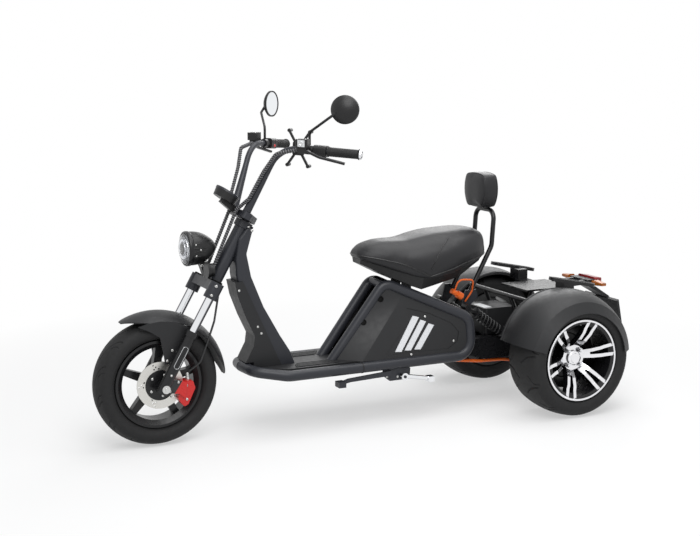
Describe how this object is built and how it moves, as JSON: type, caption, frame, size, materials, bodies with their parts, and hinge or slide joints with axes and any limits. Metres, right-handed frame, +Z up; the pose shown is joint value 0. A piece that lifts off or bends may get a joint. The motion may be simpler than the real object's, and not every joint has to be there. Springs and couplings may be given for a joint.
{
  "type": "electric trike",
  "caption": "Electric trike with one steered front wheel, wide rear wheels under round mudguards, a low step-through deck, a saddle with backrest and a rear rack",
  "frame": {"origin": "on the ground under the middle of the bounding box", "axes": "+X forward, +Y to the rider's left, +Z up"},
  "size_m": [2.3529, 0.93, 1.3189],
  "materials": {
    "frame_paint": "satin anthracite paint",
    "charcoal_plastic": "matt charcoal moulding",
    "pale_bar": "pale satin bars",
    "vinyl": "black grained vinyl",
    "black_plastic": "black plastic",
    "black_steel": "black paint",
    "chrome": "bright chrome",
    "polished_alloy": "polished alloy",
    "orange_plastic": "orange plastic",
    "hose_rubber": "wrapped black hose",
    "red_lens": "red lens",
    "amber_lens": "amber lens",
    "red_caliper": "red paint",
    "clear_glass": "clear lamp glass",
    "mirror": "mirror",
    "rubber_grip": "black rubber",
    "tyre_rubber": "dark tyre rubber",
    "disc_steel": "ground steel"
  },
  "bodies": {
    "chassis": {"frame_rails": "frame_paint", "foot_deck": "charcoal_plastic", "neck": "frame_paint", "neck_cover": "charcoal_plastic", "battery_case": "charcoal_plastic", "side_panel_left": "charcoal_plastic", "side_panel_right": "charcoal_plastic", "panel_bars": "pale_bar", "seat_cushion": "vinyl", "seat_pan": "black_plastic", "seat_posts": "frame_paint", "backrest_hoop": "black_steel", "backrest_pad": "vinyl", "swing_arm": "black_steel", "axle_case": "black_steel", "controller_case": "charcoal_plastic", "shock_dampers": "black_steel", "shock_springs": "black_steel", "rear_mudguard_left": "charcoal_plastic", "rear_mudguard_right": "charcoal_plastic", "guard_carrier": "black_steel", "rear_rack": "black_steel", "rack_handles": "black_steel", "tail_arm": "charcoal_plastic", "tail_lamp": "red_lens", "rear_signals": "amber_lens", "stand_plate": "frame_paint", "foot_pedal": "frame_paint", "power_leads": "orange_plastic"},
    "steering": {"fork_crown": "frame_paint", "fork_tubes": "chrome", "fork_sliders": "black_steel", "front_axle": "chrome", "front_mudguard": "charcoal_plastic", "brake_caliper": "red_caliper", "headlamp_shell": "black_plastic", "headlamp_lens": "clear_glass", "top_clamp": "frame_paint", "handlebar": "frame_paint", "grips": "rubber_grip", "switch_boxes": "black_plastic", "brake_perches": "black_plastic", "brake_levers": "black_steel", "mirror_shells": "black_plastic", "mirror_glass": "mirror", "speedometer": "black_plastic", "horn": "black_plastic", "control_hoses": "hose_rubber", "brake_hose": "hose_rubber", "phone_clamp": "black_plastic"},
    "front_wheel": {"front_tyre": "tyre_rubber", "front_rim": "black_steel", "brake_disc": "disc_steel"},
    "rear_wheel_left": {"rear_tyre_left": "tyre_rubber", "rear_barrel_left": "black_steel", "rear_spider_left": "polished_alloy"},
    "rear_wheel_right": {"rear_tyre_right": "tyre_rubber", "rear_barrel_right": "black_steel", "rear_spider_right": "polished_alloy"},
    "side_stand": {"side_stand": "chrome"}
  },
  "joints": [
    {"name": "steering", "type": "hinge", "parent": "chassis", "child": "steering", "pos_m": [0.62848, 0, 0.72063], "axis": [-0.5, 0, 0.866], "range_deg": [-38, 38]},
    {"name": "front_wheel_spin", "type": "hinge", "parent": "steering", "child": "front_wheel", "pos_m": [0.936, 0, 0.24], "axis": [0, 1, 0], "continuous": true},
    {"name": "rear_wheel_left_spin", "type": "hinge", "parent": "chassis", "child": "rear_wheel_left", "pos_m": [-0.722, 0.342, 0.24], "axis": [0, 1, 0], "continuous": true},
    {"name": "rear_wheel_right_spin", "type": "hinge", "parent": "chassis", "child": "rear_wheel_right", "pos_m": [-0.722, -0.342, 0.24], "axis": [0, 1, 0], "continuous": true},
    {"name": "side_stand_fold", "type": "hinge", "parent": "chassis", "child": "side_stand", "pos_m": [-0.048, 0.166, 0.188], "axis": [0, -1, 0], "range_deg": [0, 85]}
  ]
}
